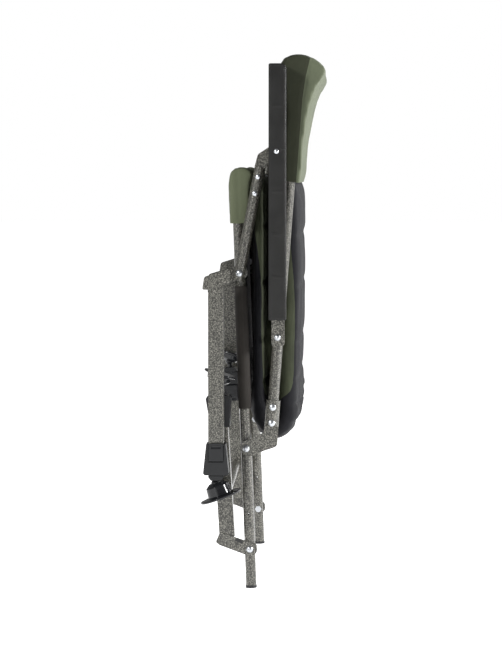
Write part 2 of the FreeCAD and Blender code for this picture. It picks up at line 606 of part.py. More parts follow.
def build_leg(end, label, side, frame, x, y, lever_side):
    """One telescopic leg in its own frame, where Z runs from the pivot towards the foot.

    x is the leg axis in that frame and y its place across the chair; lever_side is the Y direction that the
    cam lever faces.
    """
    name = "%s_%s" % (end, label)
    start, stop = size(end + "_leg_start"), size(end + "_leg_end")
    long = "dims.%s_leg_end - dims.%s_leg_start" % (end, end)
    tube = square_tube("leg_" + name, "dims.leg_width", "dims.leg_wall", long, V(x, y, (start + stop) / 2))
    publish(tube, "%s_leg_tube_%s" % (end, label), frame)

    # cam clamp: a collar that flares towards the foot, with a flat seat for the lever
    top = stop - size("clamp_lap")
    bottom = top + size("clamp_length")
    half, depth, toe = LEG / 2 + size("clamp_side"), LEG / 2 + size("clamp_face"), size("clamp_toe")
    flare = half + size("clamp_flare")
    outline = [(x - half, top, 1.5), (x + half, top, 1.5), (x + flare, bottom - toe, 2.5),
               (x + flare - toe, bottom, 1.5), (x - flare + toe, bottom, 1.5), (x - flare, bottom - toe, 2.5)]
    collar = prism("clamp_block_" + name, outline, y - depth, y + depth)
    fit, over = size("clamp_fit"), size("overcut")
    upper, lower = "dims.leg_width + 2 * dims.clamp_fit", "dims.lower_width + 2 * dims.clamp_fit"
    upper_room = box("clamp_upper_" + name, upper, upper, "dims.clamp_lap + dims.overcut + dims.clamp_fit",
                     V(x, y, stop + fit - (size("clamp_lap") + over + fit) / 2))
    lower_room = box("clamp_lower_" + name, lower, lower, "dims.clamp_length + 2 * dims.overcut",
                     V(x, y, bottom))
    # recess in the outer face that the lever lies in, and the hole for its pin
    lever, thick, gap = size("lever_length"), size("lever_thickness"), size("lever_gap")
    face = y + lever_side * depth
    recess = box("clamp_recess_" + name, "dims.lever_width + 2 * dims.lever_gap",
                 "2 * (dims.lever_thickness - dims.lever_proud)",
                 "dims.lever_length + 2 * dims.lever_gap + dims.overcut",
                 V(x, face, top + lever + 2 * gap - (lever + 2 * gap + over) / 2))
    rooms = fuse("clamp_rooms_" + name, [upper_room, lower_room, recess])
    publish(cut("clamp_" + name, collar, rooms), "%s_cam_clamp_%s" % (end, label), frame)

    # lever: a flap hinged at its foot end, lying flat along the clamp
    hinge_z = top + lever - thick / 2
    floor = face - lever_side * (thick - size("lever_proud") - gap)
    y_ends = sorted((floor, floor + lever_side * thick))
    flap = prism("lever_flap_" + name, [
        (x - size("lever_width") / 2, top - 1, 3), (x + size("lever_width") / 2, top - 1, 3),
        (x + size("lever_width") / 2, hinge_z, 0), (x - size("lever_width") / 2, hinge_z, 0)], *y_ends)
    knuckle = cylinder("lever_knuckle_" + name, "dims.lever_thickness / 2", "dims.lever_width",
                       V(x - size("lever_width") / 2, face, hinge_z), V(1, 0, 0))
    inset, grip_out = size("lever_grip_inset"), floor + lever_side * (thick + size("lever_grip_rise"))
    grip = cylinder("lever_grip_" + name, "dims.lever_grip_radius",
                    "dims.lever_width - 2 * dims.lever_grip_inset",
                    V(x - size("lever_width") / 2 + inset, grip_out, top + size("lever_grip_along")),
                    V(1, 0, 0))
    lever_body = fuse("lever_body_" + name, [flap, knuckle])
    publish(cut("lever_" + name, lever_body, grip), "%s_cam_lever_%s" % (end, label), frame)

    # sliding lower leg, its ball fitting and the foot
    shown = bottom + 1.0
    length = size("lower_length")
    lower = square_tube("lower_" + name, "dims.lower_width", "dims.lower_wall", "dims.lower_length",
                        V(x, y, shown - length / 2))
    publish(lower, "%s_lower_leg_%s" % (end, label), frame)

    ball_drop = size(end + "_ball_drop")
    ball_z = bottom + ball_drop
    wide, low = size("fitting_width") / 2, bottom + size("fitting_length")
    narrow = wide * size("fitting_taper")
    cap = prism("fitting_cap_" + name, [(x - wide, shown, 1.5), (x + wide, shown, 1.5), (x + narrow, low, 2),
                                        (x - narrow, low, 2)], y - wide, y + wide)
    plug_side = "dims.lower_width - 2 * dims.lower_wall - 2 * dims.plug_fit"
    plug_middle = shown + 1 - size("plug_length") / 2
    plug = box("fitting_plug_" + name, plug_side, plug_side, "dims.plug_length", V(x, y, plug_middle))
    stud_start = bottom + size("stud_start")
    stud = cylinder("fitting_stud_" + name, "dims.stud_radius", "dims.%s_ball_drop - dims.stud_start" % end,
                    V(x, y, stud_start), V(0, 0, 1))
    ball = bind(doc.addObject("Part::Sphere", "fitting_ball_" + name), Radius="dims.ball_radius")
    ball.Placement = App.Placement(V(x, y, ball_z), App.Rotation())
    publish(fuse("fitting_" + name, [cap, plug, stud, ball]), "%s_foot_ball_%s" % (end, label), frame)

    # mud foot: a dished disc with a hub that grips the ball, turned about the Z axis of its own frame
    profile = foot_profile(end)
    foot = doc.addObject("Part::Feature", "foot_" + name)
    foot.Shape = Part.Face(Part.Wire(profile)).revolve(V(0, 0, 0), V(0, 0, 1), 360)
    tilt = size("foot_tilt") * (-1 if end == "front" else 1)
    foot.Placement = App.Placement(V(x, y, ball_z), App.Rotation(V(0, 1, 0), tilt))
    publish(moved("foot_placed_" + name, foot, App.Placement()), "%s_foot_%s" % (end, label), frame)


def foot_profile(end):
    """Half section of a foot as edges in the XZ plane, with the ball centre as origin and the sole at +Z."""
    sole, rim = size(end + "_foot_height"), size("foot_rim")
    edge, hub, neck = size(end + "_foot_radius"), size("foot_hub_radius"), size("foot_neck_radius")
    shoulder, flare, slope = size("foot_shoulder"), size("foot_flare"), size("foot_edge")
    cup = size("ball_radius") + size("ball_clearance")
    lip = size("foot_neck_top")
    lip_x = math.sqrt(cup ** 2 - lip ** 2)
    middle = math.radians(40)
    points = [V(lip_x, 0, -lip), V(neck, 0, -lip), V(hub - flare, 0, shoulder), V(hub, 0, shoulder + flare),
              V(hub + flare, 0, sole - rim - flare), V(edge - slope, 0, sole - rim + slope / 2),
              V(edge, 0, sole - rim + 1.5 * slope), V(edge - slope / 2, 0, sole), V(0, 0, sole), V(0, 0, cup)]
    lines = [Part.LineSegment(a, b).toShape() for a, b in zip(points, points[1:])]
    arc = Part.Arc(V(0, 0, cup), V(cup * math.cos(middle), 0, cup * math.sin(middle)), V(lip_x, 0, -lip))
    return lines + [arc.toShape()]


def build_leg_frame(end, frame, x, bar_x, bar_z, y, plate_points, lever_out):
    """Two legs of one end with their side plates, crossbar and cam clamps."""
    eye = (0, 0, size("bolt_radius") + size("bolt_clearance"))
    tight = size("bar_radius") + size("rivet_clearance")
    inner = y - LEG / 2
    long = "%.6f" % (2 * (HALF + inner))
    bar_start = V(bar_x, -HALF - inner, bar_z)
    bar = cylinder(end + "_bar_out", "dims.bar_radius", long, bar_start)
    bore = cylinder(end + "_bar_in", "dims.bar_radius - dims.tube_wall", long, bar_start)
    publish(cut(end + "_bar", bar, bore), end + "_leg_crossbar", frame)
    for label, side in SIDES.items():
        low, high = across(side, PLATE_IN, PLATE_OUT)
        holes = [eye] + ([(bar_x, bar_z, tight)] if end == "front" else [])
        plate = prism("%s_plate_%s" % (end, label), plate_points, low, high, holes)
        if end == "front":
            outside = y + LEG / 2
            cheek = prism("front_cheek_" + label, FRONT_CHEEK,
                          *across(side, outside, outside + size("plate_thickness")))
            plate = group("front_plates_" + label, [plate, cheek])
        publish(plate, "%s_leg_plate_%s" % (end, label), frame)
        build_leg(end, label, side, frame, x, side * (HALF + y), side * lever_out)


# ---------------------------------------------------------------- soft parts
def build_soft_parts():
    """Plain closed solids of the seat deck, the pads, the fold between them and the two cloth pockets."""
    wide = HALF - size("tube_radius") - size("plate_gap") - size("nut_height") - size("pad_clearance")
    rear, front = size("pad_rear"), size("pad_front")
    low, rise, thick = size("seat_pad_bottom"), size("seat_pad_rise"), size("seat_pad_thickness")
    deck = size("deck_half_thickness")
    bar_top = size("seat_length") + size("tube_radius") + size("pocket_ease")
    pocket_start = bar_top - size("front_pocket_depth")
    deck_start, deck_end = size("sleeve_start"), pocket_start - 1
    publish(prism("deck", [(-deck, deck_start, 0), (deck, deck_start, 0), (deck, deck_end, 0),
                           (-deck, deck_end, 0)], -wide, wide), "seat_deck")
    publish(prism("seat_cushion", [(low, rear, 6), (low + thick, rear, 6), (low + rise + thick, front, 14),
                                   (low + rise, front, 12)], -wide, wide), "seat_pad")

    # the quilted pad turns round from the seat to the back in one fold below both
    seat_face = low + thick
    fold_ends = [(low, rear - 1, 3)] + PAD_FOLD + [(PAD_FOLD[-1][0] + 1, rear - 1, 3)]
    publish(prism("fold", fold_ends, -wide, wide), "pad_fold")

    n_front, n_back, top = size("back_pad_front"), size("back_pad_back"), size("back_pad_top")
    foot = BACK.inverse().multVec(V(seat_face, 0, rear)).z + 2.0
    publish(prism("back_cushion", [(n_front, foot + 2, 6), (n_back, foot + 6, 6), (n_back - 18, top, 12),
                                   (n_front, top, 10)], -wide, wide), "back_pad", BACK)

    # cloth pocket over the front bar of the seat
    cloth, radius = size("pocket_cloth"), size("tube_radius")
    side_wall = HALF + radius + cloth
    front_face, rear_face = low + rise * 0.7, -radius - 5.5
    block = prism("front_pocket_block", [
        (rear_face, pocket_start, 0), (front_face, pocket_start, 0), (front_face + 2.2, bar_top - 3, 8),
        (6, bar_top + 1.5, 6), (-10, bar_top - 5, 9), (rear_face - 0.5, bar_top - 28, 12)],
        -side_wall, side_wall)
    tunnel = "dims.tube_radius + dims.sleeve_gap"
    room = u_tube("front_pocket_room", 0, pocket_start - 10, size("seat_length"), tunnel)
    publish(cut("front_pocket", block, room), "seat_front_pocket")

    # cloth pocket over the top bar of the back, rounded out to the rear
    start, bar = size("head_pocket_start"), size("back_height")
    block = prism("head_pocket_block", HEAD_CLOTH, -side_wall + 0.5, side_wall - 0.5)
    room = u_tube("head_pocket_room", size("back_offset"), start - 10, bar, tunnel)
    publish(cut("head_pocket", block, room), "head_pocket", BACK)


def build_bumpers():
    """Two small rubber buffers on the rear leg plates that meet the seat rail's underside."""
    made = []
    for label, side in SIDES.items():
        low, high = across(side, PLATE_OUT, PLATE_OUT + 1.8)
        made.append(prism("bumper_" + label, BUMPER, low, high))
    publish(group("bumpers", made), "rear_leg_bumpers", REAR)


build_seat_frame()
build_backrest()
for where, direction in SIDES.items():
    build_armrest(where, direction)
    build_strut(where, direction)
# a leg frame's X points away from the seat's underside for the front legs, whose frame is turned half round
build_leg_frame("front", FRONT, size("front_leg_back"), size("front_bar_back"), size("front_bar_along"),
                FRONT_LEG_Y, FRONT_PLATE, 1)
build_leg_frame("rear", REAR, -size("rear_leg_back"), -size("rear_leg_back"), size("rear_bar_along"),
                REAR_LEG_Y, REAR_PLATE, -1)
build_soft_parts()
build_bumpers()
doc.recompute()

# ---------------------------------------------------------------- stand the chair on the ground and centre it
shapes = []
lean = App.Rotation(V(0, 1, 0), -size("rail_lean"))
for obj, within in subparts:
    shape = obj.Shape.copy()
    shape.Placement = App.Placement(V(0, 0, 0), lean).multiply(within).multiply(shape.Placement)
    shapes.append(shape)
whole = Part.makeCompound(shapes).optimalBoundingBox(False)
stance = App.Placement(V(-whole.Center.x, 0, -whole.ZMin), lean)
for obj, within in subparts:
    obj.Placement = stance.multiply(within).multiply(obj.Placement)
doc.recompute()

for obj in doc.Objects:
    if "Invalid" in obj.State or "Error" in obj.State:
        raise RuntimeError("feature failed: %s (%s)" % (obj.Name, obj.State))
labels = [obj.Label for obj, within in subparts]
if len(set(labels)) != len(labels) or len(labels) > 60:
    raise RuntimeError("sub-part names must be unique and at most 60")
for obj, within in subparts:
    if obj.Shape.isNull() or not obj.Shape.isValid() or not obj.Shape.Solids:
        raise RuntimeError("bad shape: " + obj.Label)
for obj, within in subparts:
    obj.Shape.exportStep("parts/%s.step" % obj.Label)
print("%d sub-parts, box %s" % (len(subparts), whole))
print("stance", stance.Base)
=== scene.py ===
"""Looks of a folding camp chair: painted steel frames, moulded armrests, quilted pads and cloth pockets.

Lengths in the piece classes are millimetres in two plane frames. The rail frame has its origin at the
backrest hinge, Z up the seat rail and X to the sitter's side of the seat; the back frame shares that origin
and runs up the back tube. Y runs across the chair in both.
"""
import json
import logging
import math
from dataclasses import dataclass, field
from enum import Enum
from typing import Callable, Optional, Sequence

import bmesh
import bpy
import numpy as np
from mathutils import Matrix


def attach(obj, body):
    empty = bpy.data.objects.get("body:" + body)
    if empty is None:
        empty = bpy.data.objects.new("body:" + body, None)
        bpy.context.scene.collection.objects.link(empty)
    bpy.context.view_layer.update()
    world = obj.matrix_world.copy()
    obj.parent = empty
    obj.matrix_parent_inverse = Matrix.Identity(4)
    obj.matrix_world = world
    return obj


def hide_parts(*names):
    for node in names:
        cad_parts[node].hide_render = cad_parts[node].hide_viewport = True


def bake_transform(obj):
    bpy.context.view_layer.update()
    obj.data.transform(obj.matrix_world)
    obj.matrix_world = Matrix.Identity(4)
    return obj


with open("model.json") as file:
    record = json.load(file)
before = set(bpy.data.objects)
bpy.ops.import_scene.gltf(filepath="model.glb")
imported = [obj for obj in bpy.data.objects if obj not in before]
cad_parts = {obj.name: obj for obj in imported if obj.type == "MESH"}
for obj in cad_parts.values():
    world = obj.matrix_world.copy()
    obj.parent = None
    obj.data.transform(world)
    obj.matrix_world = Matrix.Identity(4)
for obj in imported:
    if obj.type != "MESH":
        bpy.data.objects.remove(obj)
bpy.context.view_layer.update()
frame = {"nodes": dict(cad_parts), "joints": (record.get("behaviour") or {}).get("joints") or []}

LOG = logging.getLogger("camp_chair")
MM = 0.001


class Half(Enum):
    """The two folding halves of the chair, by the name of the body that carries them."""

    SEAT = "seat"
    BACK = "backrest"


# ---------------------------------------------------------------- materials
def linear(code: str) -> tuple[float, float, float, float]:
    """Turn an sRGB hex colour into linear RGBA.

    Args:
        code: six hex digits with a leading hash.

    Returns:
        Linear red, green, blue and an alpha of one.
    """
    parts = [int(code[i:i + 2], 16) / 255 for i in (1, 3, 5)]
    curve = [c / 12.92 if c <= 0.04045 else ((c + 0.055) / 1.055) ** 2.4 for c in parts]
    return (curve[0], curve[1], curve[2], 1.0)


def add(tree: bpy.types.NodeTree, kind: str, settings: Optional[dict] = None, **links) -> bpy.types.Node:
    """Add one shader node.

    Args:
        tree: the material's node tree.
        kind: the node's type name.
        settings: node properties by name, and values for inputs by their label or number.
        links: output sockets to join to the inputs named here, with underscores for spaces.

    Returns:
        The new node.
    """
    node = tree.nodes.new(kind)
    for key, value in (settings or {}).items():
        if isinstance(key, str) and hasattr(node, key):
            setattr(node, key, value)
        else:
            node.inputs[key].default_value = value
    for key, socket in links.items():
        name = key.replace("_", " ")
        tree.links.new(socket, node.inputs[int(name[1:]) if name[0] == "i" and name[1:].isdigit() else name])
    return node


@dataclass(frozen=True)
class Finish:
    """A plain finish: one colour with a gloss; the subclasses add the pattern of the real surface."""

    name: str
    colour: str
    roughness: float
    metallic: float = 0.0

    def build(self) -> bpy.types.Material:
        """Make the material once and hand it back on later calls.

        Returns:
            The material named after the finish.
        """
        known = bpy.data.materials.get(self.name)
        if known is not None:
            return known
        material = bpy.data.materials.new(self.name)
        material.use_nodes = True
        tree = material.node_tree
        tree.nodes.clear()
        settings = {"Base Color": linear(self.colour), "Roughness": self.roughness, "Metallic": self.metallic}
        shader = add(tree, "ShaderNodeBsdfPrincipled", settings)
        place = add(tree, "ShaderNodeTexCoord").outputs["Object"]
        self.pattern(tree, shader, place)
        add(tree, "ShaderNodeOutputMaterial", Surface=shader.outputs[0])
        return material

    def pattern(self, tree: bpy.types.NodeTree, shader: bpy.types.Node, place: bpy.types.NodeSocket) -> None:
        """Add nothing: the subclasses draw their pattern here.

        Args:
            tree: the material's node tree.
            shader: the surface shader to feed.
            place: the object coordinates.
        """


def scaled(millimetres: float) -> float:
    """Turn the size of a pattern into a texture scale.

    Args:
        millimetres: length over which the pattern repeats.

    Returns:
        Repeats per metre.
    """
    return 1.0 / (millimetres * MM)


def ramp(tree: bpy.types.NodeTree, factor: bpy.types.NodeSocket,
         stops: Sequence[tuple[float, tuple]]) -> bpy.types.NodeSocket:
    """Colour ramp through linear RGBA stops.

    Args:
        tree: the material's node tree.
        factor: the value that drives the ramp.
        stops: positions and colours, in order.

    Returns:
        The ramp's colour output.
    """
    node = add(tree, "ShaderNodeValToRGB", Fac=factor)
    while len(node.color_ramp.elements) < len(stops):
        node.color_ramp.elements.new(1.0)
    for element, (where, colour) in zip(node.color_ramp.elements, stops):
        element.position, element.color = where, colour
    return node.outputs["Color"]


def rounded_edge(tree: bpy.types.NodeTree, radius: float) -> bpy.types.NodeSocket:
    """Round every sharp edge in the shading, so that it catches a line of light.

    Args:
        tree: the material's node tree.
        radius: radius of the edges in millimetres.

    Returns:
        The output with the rounded normals.
    """
    return add(tree, "ShaderNodeBevel", {"samples": 6, "Radius": radius * MM}).outputs[0]


@dataclass(frozen=True)
class HammertonePaint(Finish):
    """Hammertone enamel: silicone in the paint pulls it into small dimples with dark, matt rims."""

    dark: str = "#292824"
    bright: str = "#9b988f"
    cell: float = 2.2
    speck: float = 1.6
    edge: float = 0.8

    def pattern(self, tree: bpy.types.NodeTree, shader: bpy.types.Node, place: bpy.types.NodeSocket) -> None:
        """Dimples: a warped cell pattern darkens the rims, brightens the crowns and lifts the surface.

        Args:
            tree: the material's node tree.
            shader: the surface shader to feed.
            place: the object coordinates.
        """
        warp = add(tree, "ShaderNodeTexNoise", {"Scale": scaled(self.cell * 2.2), "Detail": 2.0},
                   Vector=place)
        shift = add(tree, "ShaderNodeMix", {"data_type": "VECTOR", 0: 0.0016},
                    i4=place, i5=warp.outputs["Color"])
        cells = add(tree, "ShaderNodeTexVoronoi",
                    {"feature": "SMOOTH_F1", "Scale": scaled(self.cell), "Smoothness": 0.6},
                    Vector=shift.outputs[1])
        fine = add(tree, "ShaderNodeTexNoise",
                   {"Scale": scaled(self.speck), "Detail": 3.0, "Roughness": 0.65}, Vector=place)
        both = add(tree, "ShaderNodeMath", {"operation": "MULTIPLY_ADD", 1: 0.35},
                   i0=fine.outputs["Fac"], i2=cells.outputs["Distance"])
        colour = ramp(tree, both.outputs[0], [(0.3, linear(self.bright)), (0.5, linear(self.colour)),
                                              (0.85, linear(self.dark))])
        tree.links.new(colour, shader.inputs["Base Color"])
        gloss = add(tree, "ShaderNodeMapRange",
                    {"From Min": 0.3, "From Max": 0.95, "To Min": self.roughness - 0.08,
                     "To Max": self.roughness + 0.22}, Value=both.outputs[0])
        tree.links.new(gloss.outputs[0], shader.inputs["Roughness"])
        shader.inputs["Coat Weight"].default_value = 0.5
        shader.inputs["Coat Roughness"].default_value = 0.18
        bump = add(tree, "ShaderNodeBump", {"Strength": 0.4, "Distance": 0.0004, "invert": True},
                   Height=both.outputs[0], Normal=rounded_edge(tree, self.edge))
        tree.links.new(bump.outputs[0], shader.inputs["Normal"])


@dataclass(frozen=True)
class MouldedPlastic(Finish):
    """Injection-moulded polymer: fine spark-eroded grain, faint uneven gloss and scattered scuffs."""

    grain: float = 1.1
    depth: float = 0.00012
    edge: float = 1.0
    cloud: float = 38.0
    scuff: str = "#4a4a48"

    def pattern(self, tree: bpy.types.NodeTree, shader: bpy.types.Node, place: bpy.types.NodeSocket) -> None:
        """Grain: fine noise lifts the surface; broad noise varies the gloss and the tone.

        Args:
            tree: the material's node tree.
            shader: the surface shader to feed.
            place: the object coordinates.
        """
        grain = add(tree, "ShaderNodeTexNoise",
                    {"Scale": scaled(self.grain), "Detail": 4.0, "Roughness": 0.6}, Vector=place)
        broad = add(tree, "ShaderNodeTexNoise",
                    {"Scale": scaled(self.cloud), "Detail": 5.0, "Roughness": 0.6}, Vector=place)
        tone = ramp(tree, broad.outputs["Fac"], [(0.35, linear(self.colour)), (0.8, linear(self.scuff))])
        tree.links.new(tone, shader.inputs["Base Color"])
        gloss = add(tree, "ShaderNodeMapRange",
                    {"From Min": 0.3, "From Max": 0.7, "To Min": self.roughness - 0.06,
                     "To Max": self.roughness + 0.08}, Value=broad.outputs["Fac"])
        shader.inputs["Specular IOR Level"].default_value = 0.35
        tree.links.new(gloss.outputs[0], shader.inputs["Roughness"])
        bump = add(tree, "ShaderNodeBump", {"Strength": 0.5, "Distance": self.depth},
                   Height=grain.outputs["Fac"], Normal=rounded_edge(tree, self.edge))
        tree.links.new(bump.outputs[0], shader.inputs["Normal"])


@dataclass(frozen=True)
class PlatedSteel(Finish):
    """Zinc-plated or drawn metal: bright, with fine drawing lines along Z and slightly clouded plating."""

    line: float = 0.7

    def pattern(self, tree: bpy.types.NodeTree, shader: bpy.types.Node, place: bpy.types.NodeSocket) -> None:
        """Drawing lines: noise stretched along Z varies the roughness and lifts the surface a little.

        Args:
            tree: the material's node tree.
            shader: the surface shader to feed.
            place: the object coordinates.
        """
        mapping = add(tree, "ShaderNodeMapping", {"Scale": (1.0, 1.0, 0.04)}, Vector=place)
        lines = add(tree, "ShaderNodeTexNoise", {"Scale": scaled(self.line), "Detail": 3.0},
                    Vector=mapping.outputs[0])
        gloss = add(tree, "ShaderNodeMapRange",
                    {"To Min": self.roughness - 0.07, "To Max": self.roughness + 0.15},
                    Value=lines.outputs["Fac"])
        tree.links.new(gloss.outputs[0], shader.inputs["Roughness"])
        bump = add(tree, "ShaderNodeBump", {"Strength": 0.25, "Distance": 0.0001},
                   Height=lines.outputs["Fac"])
        tree.links.new(bump.outputs[0], shader.inputs["Normal"])


# A wave texture at scale one repeats every pi / 10.
WAVE_PITCH = math.pi / 10


@dataclass(frozen=True)
class WovenPolyester(Finish):
    """Coated 600 denier polyester: a plain weave with a soft sheen; worn a little paler in broad random
    patches.

    The real thread spacing of 0.6 mm is too fine to show, so the weave is drawn at 1.8 mm.
    """

    thread: float = 1.8
    cloud: float = 70.0
    # Second colour: the black lining cloth on the quilted pad; on the head pocket a lighter olive, painted
    # light on its back part.
    second_tone: Optional[str] = None
    pale: float = 1.35
    sheen: float = 0.25

    def pattern(self, tree: bpy.types.NodeTree, shader: bpy.types.Node, place: bpy.types.NodeSocket) -> None:
        """Weave: two crossed waves, across Y and along Z; the attribute cover swaps to the second tone: the
        black lining cloth on the pad, and on the head pocket a lighter olive that is painted light.

        Args:
            tree: the material's node tree.
            shader: the surface shader to feed.
            place: the object coordinates.
        """
        wave = {"wave_type": "BANDS", "wave_profile": "SIN", "Scale": scaled(self.thread) * WAVE_PITCH,
                "Distortion": 0.4, "Detail": 1.0}
        warp = add(tree, "ShaderNodeTexWave", {**wave, "bands_direction": "Y"}, Vector=place)
        weft = add(tree, "ShaderNodeTexWave", {**wave, "bands_direction": "Z"}, Vector=place)
        weave = add(tree, "ShaderNodeMath", {"operation": "MULTIPLY"},
                    i0=warp.outputs["Fac"], i1=weft.outputs["Fac"])
        broad = add(tree, "ShaderNodeTexNoise",
                    {"Scale": scaled(self.cloud), "Detail": 4.0, "Roughness": 0.65}, Vector=place)
        worn = add(tree, "ShaderNodeMapRange",
                   {"From Min": 0.3, "From Max": 0.75, "To Min": 0.82, "To Max": self.pale},
                   Value=broad.outputs["Fac"])
        dip = add(tree, "ShaderNodeMath", {"operation": "MULTIPLY_ADD", 1: 0.28, 2: 0.84},
                  i0=weave.outputs[0])
        tone = add(tree, "ShaderNodeMath", {"operation": "MULTIPLY"}, i0=worn.outputs[0], i1=dip.outputs[0])
        base = add(tree, "ShaderNodeRGB").outputs[0]
        base.default_value = linear(self.colour)
        if self.second_tone:
            cover = add(tree, "ShaderNodeAttribute", {"attribute_name": "cover"})
            edge = add(tree, "ShaderNodeMapRange", {"From Min": 0.47, "From Max": 0.53},
                       Value=cover.outputs["Fac"])
            swap = add(tree, "ShaderNodeMix", {"data_type": "RGBA", 7: linear(self.second_tone)},
                       i0=edge.outputs[0], i6=base)
            base = swap.outputs[2]
        shade = add(tree, "ShaderNodeVectorMath", {"operation": "SCALE"}, i0=base, Scale=tone.outputs[0])
        tree.links.new(shade.outputs[0], shader.inputs["Base Color"])
        bump = add(tree, "ShaderNodeBump", {"Strength": 0.35, "Distance": 0.0004}, Height=weave.outputs[0])
        tree.links.new(bump.outputs[0], shader.inputs["Normal"])
        shader.inputs["Sheen Weight"].default_value = self.sheen
        shader.inputs["Sheen Roughness"].default_value = 0.5
        shader.inputs["Specular IOR Level"].default_value = 0.2


HAMMERTONE = HammertonePaint("hammertone_enamel", "#52514a", 0.3, 0.3)
ARM_PLASTIC = MouldedPlastic("armrest_polypropylene", "#0f0f0e", 0.4, edge=6.0, scuff="#161615")
NYLON = MouldedPlastic("black_glass_filled_nylon", "#131416", 0.4, grain=0.9, scuff="#1b1c1e")
FOOT_PLASTIC = MouldedPlastic("glossy_black_abs", "#151618", 0.14, grain=2.5, depth=0.00004, scuff="#1c1d1f")
ZINC = PlatedSteel("zinc_plated_steel", "#b9bcc0", 0.27, 1.0)
INNER_TUBE = PlatedSteel("satin_aluminium", "#a9aaab", 0.34, 1.0)
OLIVE = WovenPolyester("olive_polyester", "#15180e", 0.8, pale=1.15, sheen=0.02)
QUILT = WovenPolyester("quilted_olive_polyester", "#363a2b", 0.78, second_tone="#0b0b10", sheen=0.03)
# Head pocket: the lighter second tone on its back part is painted light on the same olive cloth.
POCKET = WovenPolyester("headrest_polyester", "#292c1e", 0.72, second_tone="#565c49", pale=1.15, sheen=0.08)
BLACK_CLOTH = WovenPolyester("black_polyester", "#131317", 0.8, sheen=0.05)
SLEEVE = WovenPolyester("taped_polyester_sleeve", "#292623", 0.8, thread=1.4, sheen=0.04)
BUFFER = MouldedPlastic("rubber_buffer", "#191919", 0.6, grain=0.8)


# ---------------------------------------------------------------- frames and mesh helpers
@dataclass(frozen=True)
class PlaneFrame:
    """A frame that leans in the XZ plane: millimetres inside it become metres in the chair's frame."""

    origin: tuple[float, float]
    lean: float

    def place(self, x: np.ndarray, y: np.ndarray, z: np.ndarray) -> np.ndarray:
        """World points from x, y, z in this frame.

        Args:
            x: distances off the frame's Z axis, in millimetres.
            y: distances across the chair.
            z: distances along the frame's Z axis.

        Returns:
            An array of points in metres.
        """
        c, s = math.cos(self.lean), math.sin(self.lean)
        return np.stack([self.origin[0] + (x * c + z * s) * MM, y * MM,
                         self.origin[1] + (-x * s + z * c) * MM], axis=-1)

    def local(self, points: np.ndarray) -> tuple[np.ndarray, np.ndarray]:
        """Coordinates of world points in this frame.

        Args:
            points: positions in metres.

        Returns:
            The distances off the frame's Z axis and along it, in millimetres.
        """
        c, s = math.cos(self.lean), math.sin(self.lean)
        dx, dz = (points[:, 0] - self.origin[0]) / MM, (points[:, 2] - self.origin[1]) / MM
        return dx * c - dz * s, dx * s + dz * c


def joint_point(name: str) -> np.ndarray:
    """Find the pivot of a joint of the chair.

    Args:
        name: the joint's name.

    Returns:
        Its place in metres.
    """
    return np.array([j for j in frame["joints"] if j["name"] == name][0]["pos_m"], float)


BACK_HINGE = joint_point("backrest_fold")
FRONT_PIVOT = joint_point("front_leg_fold")
RAIL_LEAN = math.atan2(FRONT_PIVOT[0] - BACK_HINGE[0], FRONT_PIVOT[2] - BACK_HINGE[2])
# Degrees between the seat rails and the back tube when the chair is folded.
BACK_SPLAY = 6.23
RAIL = PlaneFrame((BACK_HINGE[0], BACK_HINGE[2]), RAIL_LEAN)
BACK = PlaneFrame((BACK_HINGE[0], BACK_HINGE[2]), RAIL_LEAN + math.radians(BACK_SPLAY))
PLANES = {Half.SEAT: RAIL, Half.BACK: BACK}


def grid_faces(rows: int, columns: int, closed: bool = False) -> np.ndarray:
    """Quads of a grid of vertices.

    Args:
        rows: number of rows.
        columns: number of vertices in each row.
        closed: whether each row joins up.

    Returns:
        Four vertex indices for each face.
    """
    i, j = np.meshgrid(np.arange(rows - 1), np.arange(columns if closed else columns - 1), indexing="ij")
    k = (j + 1) % columns
    row, above = i * columns, (i + 1) * columns
    return np.stack([row + j, row + k, above + k, above + j], -1).reshape(-1, 4)


def mesh_object(name: str, points: np.ndarray, faces: Sequence, finish: Finish) -> bpy.types.Object:
    """Build an object whose mesh holds world points, with its faces turned outwards.

    Args:
        name: the piece's name.
        points: vertex positions in metres.
        faces: vertex indices of each face.
        finish: its finish.

    Returns:
        The new object, linked to the scene.
    """
    mesh = bpy.data.meshes.new(name)
    mesh.from_pydata(np.asarray(points).tolist(), [], [list(map(int, f)) for f in faces])
    work = bmesh.new()
    work.from_mesh(mesh)
    bmesh.ops.remove_doubles(work, verts=work.verts, dist=1e-6)
    bmesh.ops.recalc_face_normals(work, faces=work.faces)
    work.to_mesh(mesh)
    work.free()
    mesh.polygons.foreach_set("use_smooth", np.ones(len(mesh.polygons), bool))
    mesh.materials.append(finish.build())
    piece = bpy.data.objects.new(name, mesh)
    bpy.context.scene.collection.objects.link(piece)
    return piece


def vertices(piece: bpy.types.Object) -> np.ndarray:
    """Read the vertex positions of a mesh object.

    Args:
        piece: the object.

    Returns:
        One row of three coordinates for each vertex.
    """
    points = np.empty(len(piece.data.vertices) * 3)
    piece.data.vertices.foreach_get("co", points)
    return points.reshape(-1, 3)


def normals(piece: bpy.types.Object) -> np.ndarray:
    """Read the vertex normals of a mesh object.

    Args:
        piece: the object.

    Returns:
        One unit vector for each vertex.
    """
    found = np.empty(len(piece.data.vertices) * 3)
    piece.data.vertex_normals.foreach_get("vector", found)
    return found.reshape(-1, 3)


def move_vertices(piece: bpy.types.Object, points: np.ndarray) -> None:
    """Write new vertex positions.

    Args:
        piece: the object.
        points: one row of three coordinates for each vertex.
    """
    piece.data.vertices.foreach_set("co", points.reshape(-1))
    piece.data.update()


